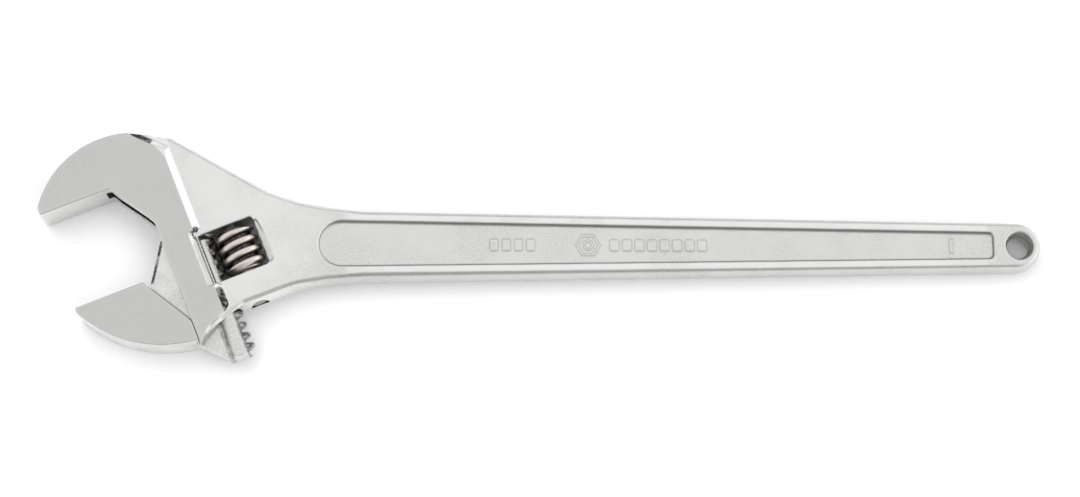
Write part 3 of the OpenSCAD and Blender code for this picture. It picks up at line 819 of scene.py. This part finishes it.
def screw_matrix():
    """From the adjuster's own axes, with its screw axis up and Z to the side, to the wrench's."""
    across = Vector((SCREW_AXIS.y, -SCREW_AXIS.x, 0.0))
    turn = Matrix((across, SCREW_AXIS, Vector((0.0, 0.0, 1.0)))).transposed()
    return Matrix.Translation(SCREW_CENTRE) @ turn.to_4x4()


def in_wrench(points):
    """Points given in the adjuster's own axes, in metres, as points of the wrench."""
    matrix = np.array(screw_matrix())
    return points @ matrix[:3, :3].T + matrix[:3, 3]


def ring_quads(rows, columns, closed):
    """Quads between rings of points. Where closed, the last ring meets the first."""
    row = np.arange(rows if closed else rows - 1)[:, None]
    column = np.arange(columns)[None, :]
    after, right = (row + 1) % rows, (column + 1) % columns
    return np.stack([row * columns + column, row * columns + right,
                     after * columns + right, after * columns + column], axis=-1).reshape(-1, 4)


def turned_piece(name, radii, places):
    """A closed turned piece. radii[i, j] is its radius in row i and column j, at places[i, j]."""
    rows, columns = radii.shape
    angle = np.arange(columns) * 2 * math.pi / columns
    local = np.stack([radii * np.sin(angle), places, radii * np.cos(angle)], axis=-1)
    points = in_wrench(local.reshape(-1, 3))
    return make_mesh(name, points, outward(points, [ring_quads(rows, columns, True)]))


def thread_section(outer, root, lead):
    """Distances from the middle of a crest to the middle of a gap, and the rounded radius at each."""
    count, reach, spread = 240, 24, 9.0
    distances = np.linspace(0, lead / 2, count + 1)
    radii = np.interp(distances / lead, [0, 0.1, 0.18, 0.265, 0.35, 0.385, 0.5],
                      [outer, outer - 0.03, outer - 0.15, outer - 0.75, root + 0.5, root, root])
    mirrored = np.concatenate([radii[::-1], radii[1:]])
    kernel = np.exp(-0.5 * (np.arange(-reach, reach + 1) / spread) ** 2)
    mirrored = np.convolve(np.pad(mirrored, reach, mode="wrap"), kernel / kernel.sum(), "valid")
    return distances, mirrored[count:]


def thread_radii(rows, columns, outer, root):
    """The thread's radius in each row and column, with a cone at both of its ends."""
    lead = SCREW_LEAD / MM
    distances, section = thread_section(outer, root, lead)
    degrees = np.arange(columns) * 360.0 / columns
    phase = rows[:, None] - CREST_PLACE - lead * (degrees[None, :] + 90.0) / 360.0
    from_crest = np.abs((phase + lead / 2) % lead - lead / 2)
    to_end = np.minimum(rows - THREAD_LOW, THREAD_TOP - rows)[:, None]
    cone = root - 0.5 + 1.3 * np.maximum(to_end, 0) - 0.25 * np.exp(-to_end / 0.3)
    return np.minimum(np.interp(from_crest, distances, section), cone)


class OBJECT_OT_wrench_adjuster(bpy.types.Operator):
    """Builds the screw adjuster that drives the jaw's rack"""
    bl_idname = "object.wrench_adjuster"
    bl_label = "Screw Adjuster"

    def execute(self, context):
        s = sizes()
        columns = 240
        outer = s.crest_radius / MM
        root = outer - s.thread_depth / MM
        hub, bore, pocket, low = HUB_RADIUS, BORE_RADIUS, POCKET_RADIUS, ADJUSTER_LOW
        floor = THREAD_TOP - POCKET_DEPTH
        hub_rings = [(bore + 0.25, low), (hub - 0.35, low), (hub - 0.1, low + 0.1), (hub, low + 0.35),
                     (hub, THREAD_LOW - 0.1), (hub + 0.1, THREAD_LOW), (root - 1.2, THREAD_LOW)]
        bore_rings = [(root - 1.2, THREAD_TOP), (pocket + 0.3, THREAD_TOP), (pocket, THREAD_TOP - 0.3),
                      (pocket, floor + 0.2), (pocket - 0.2, floor), (bore, floor), (bore, low + 0.25)]
        rows = np.linspace(THREAD_LOW, THREAD_TOP, 230)
        radii = np.array([np.full(columns, radius) for radius, place in hub_rings]
                         + list(thread_radii(rows, columns, outer, root))
                         + [np.full(columns, radius) for radius, place in bore_rings])
        places = [place for radius, place in hub_rings] + list(rows)
        places += [place for radius, place in bore_rings]
        places = np.repeat(np.array(places)[:, None], columns, axis=1)
        piece = turned_piece("screw_adjuster", radii * MM, places * MM)
        # Oil and painted shade in the thread's roots, little on the hub.
        oil_and_shade = smoothstep(outer - radii, 1.5, 3.1) * (radii > root - 0.05)
        oil_and_shade[places < THREAD_LOW + 2.0] *= 0.1
        store(piece, "oil_and_shade", oil_and_shade.reshape(-1))
        # A made-up bend on the crests, which the material paints as a highlight.
        store(piece, "bend", (smoothstep(radii, outer - 0.3, outer) * 0.8).reshape(-1))
        material = turned_steel("turned adjuster steel", colours().adjuster, 0.22)
        place_piece(piece, "knurl", "adjuster", material)
        return {"FINISHED"}


class OBJECT_OT_wrench_pin(bpy.types.Operator):
    """Builds the slotted pin that the adjuster turns on"""
    bl_idname = "object.wrench_pin"
    bl_label = "Adjuster Pin"

    def execute(self, context):
        field = Field("knurl_pin", sizes().pin_voxel)
        field.values = field.soften(0.2)
        piece, points = field_piece("adjuster_pin", field, 0.6)
        along = jaw_places(points[:, 0], points[:, 1])[1]
        # Oil and painted shade on the pin's upper part.
        store(piece, "oil_and_shade", 0.5 * smoothstep(along, -30.0, -28.0))
        material = turned_steel("turned pin steel", colours().pin, 0.3, 0.7)
        place_piece(piece, "knurl_pin", "wrench", material)
        return {"FINISHED"}


class OBJECT_OT_wrench_spring(bpy.types.Operator):
    """Builds the small spring that takes up the adjuster's end play"""
    bl_idname = "object.wrench_spring"
    bl_label = "Adjuster Spring"

    def execute(self, context):
        steps, around = 40, 14
        low = THREAD_TOP - POCKET_DEPTH + WIRE_RADIUS + SPRING_GAP
        high = WINDOW_HALF - WIRE_RADIUS - SPRING_GAP
        count = SPRING_TURNS * steps + 1
        angle = np.arange(count) * 2 * math.pi / steps
        part = smoothstep(np.arange(count) / (count - 1), -0.12, 1.12)
        part = (part - part[0]) / (part[-1] - part[0])
        ring = np.arange(around) * 2 * math.pi / around
        radius = SPRING_RADIUS + WIRE_RADIUS * np.cos(ring)[None, :]
        rise = (low + (high - low) * part)[:, None] + WIRE_RADIUS * np.sin(ring)[None, :]
        local = np.stack([radius * np.sin(angle)[:, None], rise, radius * np.cos(angle)[:, None]], -1)
        ends = local[[0, -1]].mean(axis=1)
        points = in_wrench(np.concatenate([local.reshape(-1, 3), ends]) * MM)
        column = np.arange(around)
        right = (column + 1) % around
        last = (count - 1) * around
        caps = np.concatenate([
            np.stack([right, column, np.full(around, count * around)], -1),
            np.stack([last + column, last + right, np.full(around, count * around + 1)], -1)])
        faces = outward(points, [ring_quads(count, around, False), caps])
        piece = make_mesh("adjuster_spring", points, faces)
        # A little oil and painted shade all over the spring.
        store(piece, "oil_and_shade", np.full(len(points), 0.3))
        store(piece, "bend", np.zeros(len(points)))
        material = turned_steel("drawn spring wire", colours().wire, 0.3, 0.0)
        place_piece(piece, "knurl_spring", "wrench", material)
        return {"FINISHED"}


# ---- The stage ----

def add_camera(scene):
    """The camera that looks down on the wrench from in front."""
    data = bpy.data.cameras.new("camera")
    data.sensor_width = 36.0
    data.lens = CAMERA_LENS
    data.clip_start, data.clip_end = 0.05, 50.0
    camera = bpy.data.objects.new("camera", data)
    right = Vector(CAMERA_RIGHT).normalized()
    back = right.cross(Vector(CAMERA_UP)).normalized()
    pose = Matrix((right, back.cross(right).normalized(), back)).transposed().to_4x4()
    camera.matrix_world = Matrix.Translation(CAMERA_PLACE) @ pose
    scene.collection.objects.link(camera)
    scene.camera = camera


def add_floor():
    """The pale floor, tilted so that the thinner handle comes down to it."""
    span = FLOOR_SPAN
    corners = np.array([[-span, -span, 0], [span, -span, 0], [span, span, 0], [-span, span, 0]])
    floor = make_mesh("floor", corners, [np.array([[0, 1, 2, 3]])])
    tilt = math.atan((FACE_HEIGHT - HANDLE_TOP * MM) / HANDLE_REST)
    floor.location = (-0.5, 0.0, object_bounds()[0].z - 0.0001)
    floor.rotation_euler = (0.0, -tilt, 0.0)
    floor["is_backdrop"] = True
    material = bpy.data.materials.new("pale floor")
    material.use_nodes = True
    shader = material.node_tree.nodes["Principled BSDF"]
    shader.inputs["Base Color"].default_value = rgba(colours().floor)
    shader.inputs["Roughness"].default_value = 0.9
    shader.inputs["Specular IOR Level"].default_value = 0.1
    floor.data.materials.append(material)


def add_surroundings(scene):
    """A studio whose brightness changes with direction, for the chrome to reflect."""
    world = bpy.data.worlds.new("studio")
    scene.world = world
    world.use_nodes = True
    n = Nodes(world.node_tree)
    background = world.node_tree.nodes["Background"]
    direction = n.add("ShaderNodeTexCoord").outputs["Generated"]
    parts = n.add("ShaderNodeSeparateXYZ", {0: direction}).outputs
    sides = n.mix(n.range(parts["Y"], -0.6, 0.8), SKY_NEAR, SKY_FAR)
    sides = n.mix(n.range(parts["X"], 0.3, 0.8), sides, SKY_HANDLE_SIDE)
    sky = n.mix(n.range(parts["Z"], 0.05, 0.75), sides, SKY_TOP)
    spot = n.add("ShaderNodeVectorMath", {0: direction, 1: DARK_SPOT_DIRECTION},
                 operation="DOT_PRODUCT").outputs["Value"]
    sky = n.mix(n.range(spot, 0.80, 0.95), sky, SKY_DARK_SPOT)
    world.node_tree.links.new(sky, background.inputs["Color"])
    background.inputs["Strength"].default_value = 1.0


def add_light(scene, name, place, width, height, power):
    """A soft rectangular light that faces the wrench and leaves no spot in its chrome."""
    data = bpy.data.lights.new(name, "AREA")
    data.shape = "RECTANGLE"
    data.size, data.size_y = width, height
    data.energy = power
    light = bpy.data.objects.new(name, data)
    light.location = place
    towards = Vector(LIGHTS_AIM) - Vector(place)
    light.rotation_euler = towards.to_track_quat("-Z", "Y").to_euler()
    light.visible_glossy = False
    scene.collection.objects.link(light)


class OBJECT_OT_wrench_stage(bpy.types.Operator):
    """Builds the camera, the lights, the surroundings and the pale floor"""
    bl_idname = "object.wrench_stage"
    bl_label = "Stage"

    def execute(self, context):
        scene = context.scene
        add_camera(scene)
        add_floor()
        add_surroundings(scene)
        for light in LIGHTS:
            add_light(scene, *light)
        scene.view_settings.view_transform = "Standard"
        return {"FINISHED"}


# ---- Panel and registration ----

class VIEW3D_PT_wrench(bpy.types.Panel):
    """Lists the wrench's sizes, colours and pieces"""
    bl_idname = "VIEW3D_PT_wrench"
    bl_label = "Adjustable Wrench"
    bl_space_type = "VIEW_3D"
    bl_region_type = "UI"
    bl_category = "Wrench"

    def draw(self, context):
        layout = self.layout
        for group in (context.scene.wrench_sizes, context.scene.wrench_colours):
            box = layout.box()
            for name in group.__annotations__:
                box.prop(group, name)
        for operator in OPERATORS:
            layout.operator(operator.bl_idname)


OPERATORS = (
    OBJECT_OT_wrench_frame,
    OBJECT_OT_wrench_jaw,
    OBJECT_OT_wrench_adjuster,
    OBJECT_OT_wrench_pin,
    OBJECT_OT_wrench_spring,
    OBJECT_OT_wrench_stage,
)
CLASSES = (WrenchSizes, WrenchColours) + OPERATORS + (VIEW3D_PT_wrench,)


def register():
    for entry in CLASSES:
        bpy.utils.register_class(entry)
    bpy.types.Scene.wrench_sizes = bpy.props.PointerProperty(type=WrenchSizes)
    bpy.types.Scene.wrench_colours = bpy.props.PointerProperty(type=WrenchColours)


def unregister():
    del bpy.types.Scene.wrench_colours
    del bpy.types.Scene.wrench_sizes
    for entry in reversed(CLASSES):
        bpy.utils.unregister_class(entry)


def main():
    register()
    build_groups()
    bpy.ops.object.wrench_frame()
    bpy.ops.object.wrench_jaw()
    bpy.ops.object.wrench_adjuster()
    bpy.ops.object.wrench_pin()
    bpy.ops.object.wrench_spring()
    bpy.ops.object.wrench_stage()


if __name__ == "__main__":
    main()
